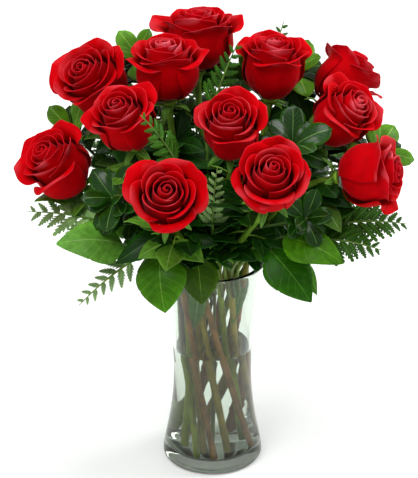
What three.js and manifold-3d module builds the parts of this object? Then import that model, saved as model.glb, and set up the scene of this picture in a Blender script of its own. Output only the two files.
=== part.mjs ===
// A dozen red roses with fern, pittosporum and lemon leaf, standing in a flared glass vase of water.
// Millimetres, +Z up, -Y to the front, origin at the centre of the vase's foot.
import * as THREE from "three";
import { mergeVertices } from "three/addons/utils/BufferGeometryUtils.js";
import Module from "manifold-3d";

const wasm = await Module();
wasm.setup();

// Driving dimensions
const vaseHeight = 203;
const footRadius = 44.5;
const waistRadius = 35.7;
const waistHeight = 82;
const mouthRadius = 46.4;
const glassWall = 3;
const glassFloor = 10;
const waterLevel = 115;
const seatGap = 0.3;
const roundSides = 24;
const roseStemRadius = 2.9;
const stemSteps = 7; // the first one straight from the foot to the mouth
const greenStemSteps = 6; // the same for fern, pittosporum and lemon leaf
const footClearance = 1; // lifts a slanting stem's foot, so that its low corner is just clear of the floor
const hipHeight = 12;
const bloomMiddle = 28; // from the receptacle to the point that a bloom's place in the table means
const leafThickness = 0.8;

// The circles on which stems stand and cross the mouth: radius on the floor and at the mouth, and the degrees
// between the two, seen from above, by which every stem leans round the vase's axis
const rings = {
  centre: { foot: 0, mouth: 3, twist: 80 },
  inner: { foot: 21, mouth: 20, twist: 100 },
  middle: { foot: 32, mouth: 32.5, twist: 96 },
  outer: { foot: 36, mouth: 40.9, twist: 80 },
  rim: { foot: 36, mouth: 41.7, twist: 80 }, // for thin stalks that end under the rim and lean on it
};

// Each rose: where its head is, the way it faces, where its stem crosses the mouth, how far it has opened,
// its width as a share of the widest, and its turn about its own axis
const roses = [
  {
    name: "top", at: [-13, 102, 372], faces: [0, 0.14, 0.99],
    ring: "inner", angle: 96, open: 1.05, wide: 1, turn: 20,
  },
  {
    name: "top_left", at: [-40, 38, 370], faces: [-0.05, 0.05, 1],
    ring: "inner", angle: 150, open: 1, wide: 0.93, turn: 75,
  },
  {
    name: "top_right", at: [54, 50, 367], faces: [0.1, 0.03, 1],
    ring: "inner", angle: 40, open: 1, wide: 0.89, turn: 140,
  },
  {
    name: "upper_left", at: [-105, 48, 354], faces: [-0.48, -0.38, 0.79],
    ring: "middle", angle: 150, open: 0.95, wide: 0.94, turn: 10,
  },
  {
    name: "middle_left", at: [-76, -28, 350], faces: [-0.28, -0.32, 0.9],
    ring: "inner", angle: 205, open: 0.9, wide: 0.85, turn: 50,
  },
  {
    name: "far_left", at: [-135, -2, 295], faces: [-0.59, -0.29, 0.76],
    ring: "middle", angle: 177, open: 0.95, wide: 0.9, turn: 95,
  },
  {
    name: "back_right", at: [119, 88, 338], faces: [0.6, 0.45, 0.62],
    ring: "middle", angle: 32, open: 0.9, wide: 0.84, turn: 30,
  },
  {
    name: "upper_right", at: [114, 12, 336], faces: [0.59, -0.29, 0.76],
    ring: "middle", angle: 5, open: 0.9, wide: 0.84, turn: 120,
  },
  {
    name: "far_right", at: [137, -40, 305], faces: [0.94, -0.22, 0.23],
    ring: "middle", angle: 340, open: 0.95, wide: 0.88, turn: 60,
  },
  {
    name: "centre", at: [15, -36, 347], faces: [-0.03, -0.41, 0.91],
    ring: "inner", angle: 285, open: 0.95, wide: 0.8, turn: 15,
  },
  {
    name: "front_right", at: [49, -104, 329], faces: [0.08, -0.57, 0.81],
    ring: "middle", angle: 298, open: 1, wide: 0.84, turn: 80,
  },
  {
    name: "front_left", at: [-39, -116, 318], faces: [-0.05, -0.64, 0.76],
    ring: "middle", angle: 247, open: 1.05, wide: 0.87, turn: 5,
  },
];

// Each fern frond: the angle at which it crosses the mouth, where its blade starts and ends, and its width
const ferns = [
  {
    name: "left", angle: 190, ring: "rim", foot: 181,
    from: [-98, -22, 250], to: [-164, -20, 259], width: 52,
  },
  {
    name: "left_low", angle: 208, ring: "rim", foot: 187,
    from: [-72, -64, 232], to: [-117, -85, 200], width: 26,
  },
  {
    name: "right", angle: 216, ring: "rim", foot: 181,
    from: [108, -26, 250], to: [172, -20, 247], width: 50,
  },
  {
    name: "right_low", angle: 302, ring: "rim", foot: 187,
    from: [92, -58, 252], to: [147, -72, 248], width: 44,
  },
  {
    name: "middle_left", angle: 278, ring: "rim", foot: 184,
    from: [-30, -56, 322], to: [-62, -64, 374], width: 30,
  },
  {
    name: "middle", angle: 30, ring: "centre",
    from: [1, 6, 350], to: [22, 12, 408], width: 30,
  },
  {
    name: "middle_front", angle: 270, ring: "rim", foot: 187,
    from: [0, -68, 268], to: [4, -84, 334], width: 20,
  },
  {
    name: "back_tall", angle: 286, ring: "rim", foot: 181,
    from: [48, 110, 312], to: [65, 132, 377], width: 26,
  },
  {
    name: "back", angle: 108, foot: 104,
    from: [-12, 96, 262], to: [-22, 158, 292], width: 50,
  },
  {
    name: "back_left", angle: 146, foot: 98,
    from: [-72, 82, 250], to: [-122, 128, 262], width: 50,
  },
  {
    name: "back_right", angle: 254, ring: "rim", foot: 187,
    from: [86, 84, 246], to: [132, 126, 254], width: 50,
  },
];

// Each pittosporum sprig: where its whorl of leaves is, the way it points, its turn about itself, and the length
// of its leaves
const sprigs = [
  {
    name: "upper_left", angle: 118, at: [-67, 92, 361], faces: [-0.15, -0.5, 0.85],
    turn: 340, leaf: 32, foot: 98,
  },
  {
    name: "left", angle: 170, at: [-128, 60, 301], faces: [-0.4, -0.45, 0.8],
    turn: 264, leaf: 36, foot: 187,
  },
  {
    name: "middle_right", angle: 262, at: [70, -30, 331], faces: [0.1, -0.5, 0.85],
    turn: 92, leaf: 38, foot: 181,
  },
  {
    name: "upper_right", angle: 90, at: [75, 98, 344], faces: [0.15, -0.4, 0.9],
    turn: 144, leaf: 36, foot: 104,
  },
  {
    name: "right", angle: 128, at: [147, 24, 298], faces: [0.4, -0.4, 0.8],
    turn: 68, leaf: 36, foot: 104,
  },
  {
    name: "middle_left", angle: 198, at: [-88, -50, 288], faces: [-0.4, -0.6, 0.7],
    turn: 112, leaf: 34, foot: 181,
  },
  {
    name: "right_low", angle: 224, at: [82, -66, 276], faces: [0.3, -0.8, 0.6],
    turn: 153, leaf: 28, foot: 184,
  },
  {
    name: "back", angle: 100, at: [28, 136, 322], faces: [0.1, 0.7, 0.7],
    turn: 68, leaf: 36, foot: 98,
  },
  {
    name: "back_left", angle: 160, at: [-64, 128, 300], faces: [-0.4, 0.8, 0.6],
    turn: 153, leaf: 36, foot: 187,
  },
];

// Each lemon leaf twig: the route's end, then its leaves, each from its stalk to its tip
const twigs = [
  {
    name: "left", angle: 234, at: [-62, -60, 246], foot: 184,
    leaves: [
      { from: [-78, -58, 246], to: [-135, -76, 258], width: 46, face: [-0.2, -0.6, 1] },
      { from: [-46, -78, 244], to: [-42, -104, 203], width: 48, face: [-0.3, -1, 0.3] },
    ],
  },
  {
    name: "front", angle: 246, at: [-16, -58, 236], foot: 187,
    leaves: [
      { from: [-13, -66, 236], to: [-9, -78, 197], width: 34, face: [0, -1, 0.25] },
    ],
  },
  {
    name: "right", angle: 294, at: [44, -56, 246], foot: 181,
    leaves: [
      { from: [62, -66, 258], to: [113, -90, 246], width: 40, face: [0.2, -0.7, 1] },
      { from: [50, -72, 248], to: [86, -98, 211], width: 42, face: [0.3, -1, 0.5] },
      { from: [60, -50, 240], to: [94, -64, 200], width: 26, face: [0.8, -0.6, 0.6] },
    ],
  },
  {
    name: "right_high", angle: 70, at: [70, -32, 248], foot: 100,
    leaves: [
      { from: [80, -34, 254], to: [124, -44, 275], width: 32, face: [-0.3, -0.6, 1] },
    ],
  },
  {
    name: "back", angle: 80, at: [24, 66, 240], foot: 100,
    leaves: [
      { from: [30, 80, 240], to: [46, 118, 206], width: 42, face: [0.2, 1, 0.4] },
      { from: [16, 84, 250], to: [4, 134, 244], width: 40, face: [0, 0.5, 1] },
    ],
  },
  {
    name: "back_left", angle: 138, at: [-44, 46, 238], foot: 104,
    leaves: [
      { from: [-58, 54, 240], to: [-98, 88, 228], width: 42, face: [-0.4, 0.5, 1] },
      { from: [-40, 62, 236], to: [-40, 102, 200], width: 40, face: [-0.1, 1, 0.4] },
    ],
  },
  {
    name: "back_right", angle: 58, at: [58, 26, 242], foot: 100,
    leaves: [
      { from: [72, 30, 246], to: [124, 44, 232], width: 42, face: [0.5, 0.2, 1] },
      { from: [62, 40, 236], to: [90, 72, 202], width: 40, face: [0.6, 0.8, 0.5] },
    ],
  },
];

const colours = {
  petal: 0xc4060f,
  stem: 0x5c7a33,
  fern: 0x3f6b2c,
  sprig: 0x2f6a22,
  twig: 0x3f7a1f,
  glass: 0xe4efe8,
  water: 0xdbe6d8,
};

const root = new THREE.Group();

// Random numbers from 0 to 1, the same ones for the same seed
function seeded(seed) {
  let state = seed;
  return () => {
    state = (Math.imul(state, 1664525) + 1013904223) >>> 0;
    return state / 4294967296;
  };
}

// Adds a solid to the model as one named mesh
function add(name, solid, material) {
  const mesh = solid.getMesh();
  const geometry = new THREE.BufferGeometry();
  geometry.setAttribute("position", new THREE.BufferAttribute(mesh.vertProperties, 3));
  geometry.setIndex(new THREE.BufferAttribute(mesh.triVerts, 1));
  const flat = geometry.toNonIndexed();
  flat.computeVertexNormals();
  const made = new THREE.Mesh(flat, material);
  made.name = name;
  root.add(made);
}

function solidOf(geometry) {
  const bare = geometry.clone();
  bare.deleteAttribute("normal");
  bare.deleteAttribute("uv");
  const merged = mergeVertices(bare, 1e-3);
  return new wasm.Manifold(
    new wasm.Mesh({
      numProp: 3,
      vertProperties: merged.attributes.position.array,
      triVerts: new Uint32Array(merged.index.array),
    }),
  );
}

function union(solids) {
  return solids.reduce((whole, next) => whole.add(next));
}

// A round solid about Z from a profile of radius and height
function turned(profile, sides) {
  const points = profile.map(([radius, height]) => new THREE.Vector2(radius, height));
  return new THREE.LatheGeometry(points, sides).rotateX(Math.PI / 2);
}

// A matrix that stands a piece made along +Z at a point, along a direction, turned about itself
function stoodAt(at, direction, turn = 0) {
  const spin = new THREE.Matrix4().makeRotationZ(THREE.MathUtils.degToRad(turn));
  const lean = new THREE.Quaternion().setFromUnitVectors(new THREE.Vector3(0, 0, 1), direction);
  return new THREE.Matrix4().makeRotationFromQuaternion(lean).setPosition(at).multiply(spin);
}

// A thin closed blade on a grid. place(u, v) gives its middle surface: u runs across it from -1 to 1, and v
// along it from 0 to 1.
function blade(across, along, thickness, place) {
  const grid = new THREE.PlaneGeometry(2, 1, across, along);
  const position = grid.attributes.position;
  for (let i = 0; i < position.count; i++) {
    const point = place(position.getX(i), 0.5 - position.getY(i));
    position.setXYZ(i, point.x, point.y, point.z);
  }
  grid.computeVertexNormals();
  const normal = grid.attributes.normal;
  const count = position.count;
  const corners = [];
  for (const side of [0.5, -0.5]) {
    for (let i = 0; i < count; i++) {
      corners.push(
        position.getX(i) + normal.getX(i) * thickness * side,
        position.getY(i) + normal.getY(i) * thickness * side,
        position.getZ(i) + normal.getZ(i) * thickness * side,
      );
    }
  }
  const faces = [];
  for (let i = 0; i < grid.index.count; i += 3) {
    const [a, b, c] = [grid.index.getX(i), grid.index.getX(i + 1), grid.index.getX(i + 2)];
    faces.push(a, b, c, count + c, count + b, count + a);
  }
  const row = across + 1;
  const rim = [];
  for (let j = 0; j < along; j++) rim.push([j * row, (j + 1) * row], [(j + 2) * row - 1, (j + 1) * row - 1]);
  for (let i = 0; i < across; i++) rim.push([i + 1, i], [along * row + i, along * row + i + 1]);
  for (const [a, b] of rim) faces.push(b, a, count + a, b, count + a, count + b);
  const closed = new THREE.BufferGeometry();
  closed.setAttribute("position", new THREE.Float32BufferAttribute(corners, 3));
  closed.setIndex(faces);
  return closed;
}

// A leaf from its stalk to its tip. half(v) is its half width, sweep pushes its edges forward, bulge arches it
// and fold turns its sides down.
function leaf({ from, to, face, half, rows, across: cells = 2, bulge = 0.12, fold = 0.25, sweep = 0 }) {
  const along = to.clone().sub(from);
  const length = along.length();
  along.normalize();
  const across = new THREE.Vector3().crossVectors(along, face).normalize();
  const out = new THREE.Vector3().crossVectors(across, along);
  return blade(cells, rows, leafThickness, (u, v) => {
    const width = half(v);
    return from
      .clone()
      .addScaledVector(along, v * length + Math.abs(u) * width * sweep)
      .addScaledVector(across, u * width)
      .addScaledVector(out, 4 * bulge * length * v * (1 - v) - Math.abs(u) * width * fold);
  });
}

// Where a stem stands on the vase's floor or crosses its mouth
function onRing(radius, angle, height) {
  const turn = THREE.MathUtils.degToRad(angle);
  return new THREE.Vector3(radius * Math.cos(turn), radius * Math.sin(turn), height);
}

// A stem's centre line: straight through the vase, then bent to its end
class StemLine extends THREE.Curve {
  constructor({ ring, angle, foot, end, endDirection, steps }) {
    super();
    const floor = onRing(rings[ring].foot, angle + rings[ring].twist, glassFloor + footClearance);
    this.mouth = onRing(rings[ring].mouth, angle, vaseHeight);
    const rise = this.mouth.clone().sub(floor);
    this.foot = floor.clone().addScaledVector(rise, (foot - floor.z) / rise.z);
    const reach = end.distanceTo(this.mouth);
    this.bend = new THREE.CubicBezierCurve3(
      this.mouth,
      this.mouth.clone().addScaledVector(rise.normalize(), reach * 0.3),
      end.clone().addScaledVector(endDirection, -reach * 0.3),
      end,
    );
    this.straightShare = 1 / steps;
  }
  getPoint(t) {
    if (t < this.straightShare) return this.foot.clone().lerp(this.mouth, t / this.straightShare);
    return this.bend.getPoint((t - this.straightShare) / (1 - this.straightShare));
  }
  getPointAt(u) {
    return this.getPoint(u);
  }
  getTangentAt(u) {
    return this.getTangent(u);
  }
}

function tube(line, radius, sides, steps) {
  const section = new THREE.Shape();
  for (let i = 0; i < sides; i++) {
    const turn = (2 * Math.PI * i) / sides;
    const corner = [radius * Math.cos(turn), radius * Math.sin(turn)];
    if (i) section.lineTo(...corner);
    else section.moveTo(...corner);
  }
  return new THREE.ExtrudeGeometry(section, { extrudePath: line, steps, bevelEnabled: false });
}

// The vase: a waisted wall that flares to the mouth, with a heavy floor
const outsideCurve = new THREE.SplineCurve([
  new THREE.Vector2(46, 4),
  new THREE.Vector2(41.6, 29),
  new THREE.Vector2(waistRadius, waistHeight),
  new THREE.Vector2(38.4, 135),
  new THREE.Vector2(mouthRadius, vaseHeight),
]);

function vaseRadius(height) {
  const points = outsideCurve.getPoints(60);
  const above = points.findIndex((point) => point.y >= height);
  const [low, high] = [points[Math.max(above, 1) - 1], points[Math.max(above, 1)]];
  return low.x + ((high.x - low.x) * (height - low.y)) / (high.y - low.y);
}

function insideRadius(height) {
  return vaseRadius(height) - glassWall;
}

const wallHeights = [15, 44, 82, 122, 165];
const floorRadius = insideRadius(wallHeights[0]) - 3;

function vase() {
  const outside = [[0, 0], [footRadius, 0], [46, 4]];
  for (const height of wallHeights) outside.push([vaseRadius(height), height]);
  const lip = [
    [mouthRadius, vaseHeight - 1],
    [mouthRadius - glassWall / 2, vaseHeight],
    [mouthRadius - glassWall, vaseHeight - 1],
  ];
  const inside = [...wallHeights].reverse().map((height) => [insideRadius(height), height]);
  const floor = [[floorRadius, glassFloor], [0, glassFloor]];
  return solidOf(turned([...outside, ...lip, ...inside, ...floor], roundSides));
}

// The water, clear of the glass and with a plain hole for each stem that reaches it
function water(stems) {
  const low = glassFloor + seatGap;
  const floor = [[0, low], [floorRadius - seatGap, low]];
  const heights = [...wallHeights.filter((height) => height < waterLevel), waterLevel];
  const side = heights.map((height) => [insideRadius(height) - seatGap, height]);
  const body = solidOf(turned([...floor, ...side, [0, waterLevel]], roundSides));
  return stems.reduce((left, { line, radius, sides }) => {
    const below = new THREE.LineCurve3(
      line.foot.clone().lerp(line.mouth, -0.05),
      line.foot.clone().lerp(line.mouth, 1),
    );
    return left.subtract(solidOf(tube(below, radius + 2 * seatGap, sides, 1)));
  }, body);
}

// A rose head that stands along +Z: one skin that runs from the receptacle up the outside of five petals, over
// their lips and down behind them, then over three and two more, to the bud in the middle. Each row gives the
// radius, the height, how many petals its layer has, how far one edge of a petal lies outside its neighbour's
// edge, how far the lip drops at the edges, and the layer's turn.
function bloom(open, wide, seed) {
  const random = seeded(seed);
  const rows = [
    { radius: 8, height: 0, petals: 5, step: 0, drop: 0, turn: 0 },
    { radius: 24, height: 11, petals: 5, step: 1.4, drop: 0, turn: 0 },
    { radius: 28.5, height: 28, petals: 5, step: 2, drop: 0, turn: 0 },
    { radius: 27 + 9 * open, height: 48, petals: 5, step: 2.2, drop: 9, turn: 0, lip: true },
    { radius: 24.5 + 6 * open, height: 45, petals: 5, step: 2.2, drop: 8.5, turn: 0 },
    { radius: 22, height: 28, petals: 3, step: 0.8, drop: 0, turn: 40 },
    { radius: 20.5 + open, height: 55, petals: 3, step: 1.8, drop: 5, turn: 40, lip: true },
    { radius: 18.3 + open, height: 53, petals: 3, step: 1.8, drop: 5, turn: 40 },
    { radius: 14, height: 38, petals: 2, step: 0.6, drop: 0, turn: 95 },
    { radius: 12, height: 56, petals: 2, step: 1.8, drop: 4, turn: 95, lip: true },
    { radius: 9.6, height: 53, petals: 2, step: 1.8, drop: 3, turn: 95 },
  ];
  const columns = Array.from({ length: 5 }, (_, k) => [-32, -12, 12, 32].map((aside) => 72 * k + aside)).flat();
  const uneven = Array.from({ length: 5 }, () => random() - 0.5);
  const profile = rows.map(({ radius, height }) => [radius, height]);
  const skin = turned([[0, 0], ...profile, [0, 44]], columns.length);
  const position = skin.attributes.position;
  for (let i = 0; i < position.count; i++) {
    const row = rows[(i % (rows.length + 2)) - 1];
    if (!row) continue;
    const column = Math.floor(i / (rows.length + 2)) % columns.length;
    const angle = columns[column];
    const span = 360 / row.petals;
    const across = 2 * (THREE.MathUtils.euclideanModulo(angle - row.turn + span / 2, span) / span) - 1;
    const wave = row.lip ? uneven[Math.floor(column / 4)] * 3 : 0;
    const height = row.height - row.drop * across * across + wave;
    const point = onRing(wide * (row.radius + row.step * across), angle, height);
    position.setXYZ(i, point.x, point.y, point.z);
  }
  return solidOf(skin);
}

// The hip under a bloom. Every second corner of its skin is drawn out to the tip of a sepal that bends down.
// Each row gives the radius, the height, and how far out and down a sepal goes there.
function calyx() {
  const rows = [
    [roseStemRadius - 0.2, -hipHeight, 0, 0],
    [6, -7.5, 9, -5],
    [6.8, -5, 19, -11],
    [7.1, -3, 9, -2.6],
    [7.2, 0, 0, 0],
  ];
  const profile = rows.map(([radius, height]) => [radius, height]);
  const skin = turned([[0, -hipHeight], ...profile, [0, 0]], 10);
  const position = skin.attributes.position;
  for (let i = 0; i < position.count; i++) {
    const row = rows[(i % (rows.length + 2)) - 1];
    if (!row) continue;
    const column = Math.floor(i / (rows.length + 2)) % 10;
    const [radius, height, out, down] = row;
    const tip = column % 2 ? 1 : 0;
    const point = onRing(radius + out * tip, 36 * column, height + down * tip);
    position.setXYZ(i, point.x, point.y, point.z);
  }
  return solidOf(skin);
}

// Half widths of the three kinds of leaf
const fernHalf = (width, rows) => (v) => {
  const row = Math.round(v * rows);
  return row % 2 ? (width / 2) * Math.pow(1 - v, 0.8) + 2 : 1.3;
};
const obovateHalf = (width) => (v) => {
  const swell = Math.sin(Math.PI * Math.pow(v, 1.7));
  return Math.max(1, (width / 2) * Math.pow(swell, 0.7));
};
const toothedHalf = (width, rows) => (v) => {
  const tooth = Math.round(v * rows) % 2 ? 1 : 0.92;
  const swell = Math.sin(Math.PI * Math.pow(v, 0.72));
  return Math.max(0.6, tooth * (width / 2) * Math.pow(swell, 0.85));
};

const vector = (list) => new THREE.Vector3(...list);
const finish = (color, roughness) => {
  return new THREE.MeshStandardMaterial({ color, roughness, metalness: 0, side: THREE.DoubleSide });
};
const clearFinish = (color, roughness, opacity) => {
  return new THREE.MeshStandardMaterial({ color, roughness, metalness: 0, transparent: true, opacity });
};
const petalFinish = finish(colours.petal, 0.55);
const stemFinish = finish(colours.stem, 0.6);
const fernFinish = finish(colours.fern, 0.6);
const sprigFinish = finish(colours.sprig, 0.3);
const twigFinish = finish(colours.twig, 0.4);
const glassFinish = clearFinish(colours.glass, 0.03, 0.3);
const waterFinish = clearFinish(colours.water, 0.02, 0.35);

const inWater = [];

// A stem's solid. Its line is kept where it needs a hole in the water.
function stem({ ring = "outer", angle, foot = glassFloor + footClearance, radius, sides, steps, ...ending }) {
  const line = new StemLine({ ring, angle, foot, steps, ...ending });
  if (foot < waterLevel) inWater.push({ line, radius, sides });
  return solidOf(tube(line, radius, sides, steps));
}

for (const rose of roses) {
  const faces = vector(rose.faces).normalize();
  const base = vector(rose.at).addScaledVector(faces, -bloomMiddle);
  const head = bloom(rose.open, rose.wide, 40 + rose.turn).transform(stoodAt(base, faces, rose.turn).elements);
  add("rose_" + rose.name + "_bloom", head, petalFinish);
  const hipTop = base.clone().addScaledVector(faces, -seatGap);
  const end = hipTop.clone().addScaledVector(faces, -hipHeight + 1);
  const shape = { radius: roseStemRadius, sides: 5, steps: stemSteps };
  const line = stem({ ...rose, end, endDirection: faces, ...shape });
  const green = calyx().transform(stoodAt(hipTop, faces, rose.turn).elements);
  add("rose_" + rose.name + "_stem", line.add(green), stemFinish);
}

for (const { name, from, to, width, ...route } of ferns) {
  const [start, tip] = [vector(from), vector(to)];
  const direction = tip.clone().sub(start).normalize();
  const end = start.clone().addScaledVector(direction, 4);
  const shape = { radius: 1.4, sides: 3, steps: greenStemSteps };
  const line = stem({ ...route, end, endDirection: direction, ...shape });
  const face = new THREE.Vector3(0, direction.y > 0.5 ? 0.3 : -0.5, 1);
  const broad = width > 40;
  const length = start.distanceTo(tip);
  const rows = 2 * (Math.round(length / 13) + (broad ? 1 : 2));
  const outline = { from: start, to: tip, face, half: fernHalf(width, rows), rows, bulge: 0.06 };
  // a narrow frond has no rib line, so its leaflets sweep forward by less than the space between two of them
  const narrow = { across: 1, fold: 0, sweep: (1.6 * length) / rows / width };
  const frond = leaf(broad ? { ...outline, fold: 0.15, sweep: 0.45 } : { ...outline, ...narrow });
  add("fern_" + name, line.add(solidOf(frond)), fernFinish);
}

const leavesInWhorl = 5;
const woodyStem = { radius: 1.8, sides: 4, steps: greenStemSteps };
const zAxis = new THREE.Vector3(0, 0, 1);
for (const { name, at, faces, turn, leaf: length, ...route } of sprigs) {
  const axis = vector(faces).normalize();
  const tip = vector(at);
  const parts = [stem({ ...route, ...woodyStem, end: tip, endDirection: axis })];
  for (let k = 0; k < leavesInWhorl; k++) {
    const spread = k % 2 ? 0.75 : 1.15;
    const direction = onRing(Math.sin(spread), (360 * k) / leavesInWhorl, Math.cos(spread));
    const from = direction.clone().multiplyScalar(0.5).setZ(k % 2 ? -2 : -6);
    const to = from.clone().addScaledVector(direction, length * (k % 2 ? 0.85 : 1));
    const shape = leaf({ from, to, face: zAxis, half: obovateHalf(length * 0.5), rows: 3, bulge: 0.08 });
    parts.push(solidOf(shape).transform(stoodAt(tip, axis, turn).elements));
  }
  add("pittosporum_" + name, union(parts), sprigFinish);
}

for (const { name, at, leaves, ...route } of twigs) {
  const end = vector(at);
  const out = vector(leaves[0].from).sub(end).normalize();
  const parts = [stem({ ...route, ...woodyStem, end, endDirection: out })];
  for (const { width, ...place } of leaves) {
    const [from, to, face] = [vector(place.from), vector(place.to), vector(place.face)];
    parts.push(solidOf(tube(new THREE.LineCurve3(end.clone(), from.clone().lerp(to, 0.06)), 1.2, 4, 1)));
    const shape = leaf({ from, to, face, half: toothedHalf(width, 5), rows: 5, bulge: 0.1 });
    parts.push(solidOf(shape));
  }
  add("lemon_leaf_" + name, union(parts), twigFinish);
}

add("vase", vase(), glassFinish);
add("water", water(inWater), waterFinish);

export default root;
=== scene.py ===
import math
import random

import bmesh
import bpy
from mathutils import Matrix, Vector


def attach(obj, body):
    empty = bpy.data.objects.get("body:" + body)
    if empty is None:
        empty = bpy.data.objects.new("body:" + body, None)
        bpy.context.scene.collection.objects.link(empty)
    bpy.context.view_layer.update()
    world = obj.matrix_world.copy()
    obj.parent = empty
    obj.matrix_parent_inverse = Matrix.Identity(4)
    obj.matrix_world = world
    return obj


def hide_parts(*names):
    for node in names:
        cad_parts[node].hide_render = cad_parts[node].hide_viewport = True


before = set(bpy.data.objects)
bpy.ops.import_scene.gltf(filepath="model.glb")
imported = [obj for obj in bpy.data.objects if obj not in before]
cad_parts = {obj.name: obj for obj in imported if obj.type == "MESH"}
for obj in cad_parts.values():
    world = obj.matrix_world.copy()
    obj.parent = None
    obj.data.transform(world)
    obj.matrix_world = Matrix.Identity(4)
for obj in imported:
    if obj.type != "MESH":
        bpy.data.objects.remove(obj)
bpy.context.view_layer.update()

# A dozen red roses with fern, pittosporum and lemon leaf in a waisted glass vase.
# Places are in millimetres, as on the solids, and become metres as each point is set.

mm = 0.001


def linear(colour):
    # sRGB hex to the linear values that a shader takes
    parts = [int(colour[i:i + 2], 16) / 255 for i in (1, 3, 5)]
    return tuple(c / 12.92 if c <= 0.04045 else ((c + 0.055) / 1.055) ** 2.4 for c in parts) + (1.0,)


def feed(tree, node, links):
    # links a node's inputs to sockets, or to other nodes' first outputs
    for name, source in links.items():
        socket = source.outputs[0] if isinstance(source, bpy.types.Node) else source
        tree.links.new(socket, node.inputs[name])


def addNode(tree, kind, values=None, links=None, stops=None, **settings):
    node = tree.nodes.new("ShaderNode" + kind)
    for name, value in settings.items():
        setattr(node, name, value)
    for name, value in (values or {}).items():
        node.inputs[name].default_value = value
    feed(tree, node, links or {})
    if stops:
        ramp = node.color_ramp
        while len(ramp.elements) < len(stops):
            ramp.elements.new(0.5)
        for element, (place, colour) in zip(ramp.elements, stops):
            element.position, element.color = place, linear(colour)
    return node


def startMaterial(name, **sockets):
    # a material with the values that are the same all over its surface
    material = bpy.data.materials.new(name)
    material.use_nodes = True
    shader = material.node_tree.nodes["Principled BSDF"]
    for socket, value in sockets.items():
        shader.inputs[socket.replace("_", " ")].default_value = value
    return material, material.node_tree, shader


def smoothStep(low, high, value):
    t = min(1.0, max(0.0, (value - low) / (high - low)))
    return t * t * (3 - 2 * t)


def mix(a, b, t):
    return a + (b - a) * t


def alongCurve(points, t):
    # a smooth curve through points of radius and height
    span = t * (len(points) - 1)
    i = min(int(span), len(points) - 2)
    f = span - i
    a, b, c, d = (points[min(max(i + k, 0), len(points) - 1)] for k in (-1, 0, 1, 2))
    return [
        0.5 * (2 * q + (r - p) * f + (2 * p - 5 * q + 4 * r - s) * f * f + (3 * q - p - 3 * r + s) * f ** 3)
        for p, q, r, s in zip(a, b, c, d)
    ]


# camera and light
cameraPlace = {
    "target": (-0.0032, 0.0, 0.2216), "elevation": 27.3, "distance": 2.6, "lens": 218.0, "sensor": 36,
    "clipEnd": 20,
}
lights = [
    {"name": "keyLeft", "at": (-1.0, -1.3, 2.5), "size": 1.2, "power": 40},
    {"name": "rightBack", "at": (1.6, 0.5, 1.3), "size": 1.1, "power": 22},
    {"name": "top", "at": (0.1, 0.3, 2.6), "size": 1.2, "power": 26},
]
lightsAim = (0, 0, 0.25)
worldLight = {"colour": "#f6f6f6", "strength": 0.56}

scene = bpy.context.scene
scene.view_settings.view_transform = "Standard"

cameraData = bpy.data.cameras.new("camera")
cameraData.lens = cameraPlace["lens"]
cameraData.sensor_width = cameraPlace["sensor"]
cameraData.clip_end = cameraPlace["clipEnd"]
camera = bpy.data.objects.new("camera", cameraData)
tilt = math.radians(cameraPlace["elevation"])
view = Vector((0, math.cos(tilt), -math.sin(tilt)))
camera.location = Vector(cameraPlace["target"]) - view * cameraPlace["distance"]
camera.rotation_euler = (math.pi / 2 - tilt, 0, 0)
scene.collection.objects.link(camera)
scene.camera = camera

for setup in lights:
    lamp = bpy.data.lights.new(setup["name"], "AREA")
    lamp.size, lamp.energy = setup["size"], setup["power"]
    holder = bpy.data.objects.new(setup["name"], lamp)
    holder.location = setup["at"]
    holder.rotation_euler = (Vector(lightsAim) - holder.location).to_track_quat("-Z", "Y").to_euler()
    scene.collection.objects.link(holder)

world = bpy.data.worlds.new("studio")
world.use_nodes = True
world.node_tree.nodes["Background"].inputs["Color"].default_value = linear(worldLight["colour"])
world.node_tree.nodes["Background"].inputs["Strength"].default_value = worldLight["strength"]
scene.world = world
print("camera and light")


# what the pieces share
def addSheet(bm, across, along, place, thickness, slots):
    # a grid bent by place(u, v), u from -1 to 1 and v from 0 to 1, thickened into a closed blade.
    # slots are the material indices of its upper face, its underside and its rim
    made = bmesh.ops.create_grid(bm, x_segments=across, y_segments=along, size=1, calc_uvs=True)
    sheet = made["verts"]
    for vertex in sheet:
        vertex.co = place(vertex.co.x, (vertex.co.y + 1) / 2) * mm
    upper = list({face for vertex in sheet for face in vertex.link_faces})
    for face in upper:
        face.material_index = slots[0]
        face.normal_update()
    for vertex in sheet:
        vertex.normal_update()
    own = set(sheet)
    shell = bmesh.ops.solidify(bm, geom=upper, thickness=thickness * mm)
    for face in shell["geom"]:
        if isinstance(face, bmesh.types.BMFace) and face not in upper:
            onRim = any(vertex in own for vertex in face.verts)
            face.material_index = slots[2] if onRim else slots[1]


def leafPlace(start, tip, face, half, bulge=0.12, fold=0.2, sweep=0.0, curl=0.0, wave=0.0, phase=0.0):
    # where a leaf's points lie: from its stalk to its tip, arched by bulge and folded along its rib
    along = tip - start
    length = along.length
    along = along.normalized()
    side = along.cross(face).normalized()
    out = side.cross(along)

    def place(u, v):
        width = half(v)
        rise = 4 * bulge * length * v * (1 - v) - abs(u) * width * fold * (1 - 0.4 * abs(u))
        rise += wave * math.sin(9 * v + phase + 1.6 * u) * abs(u) - curl * length * v ** 3
        return start + along * (v * length + abs(u) * width * sweep) + side * (u * width) + out * rise

    return place


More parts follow.
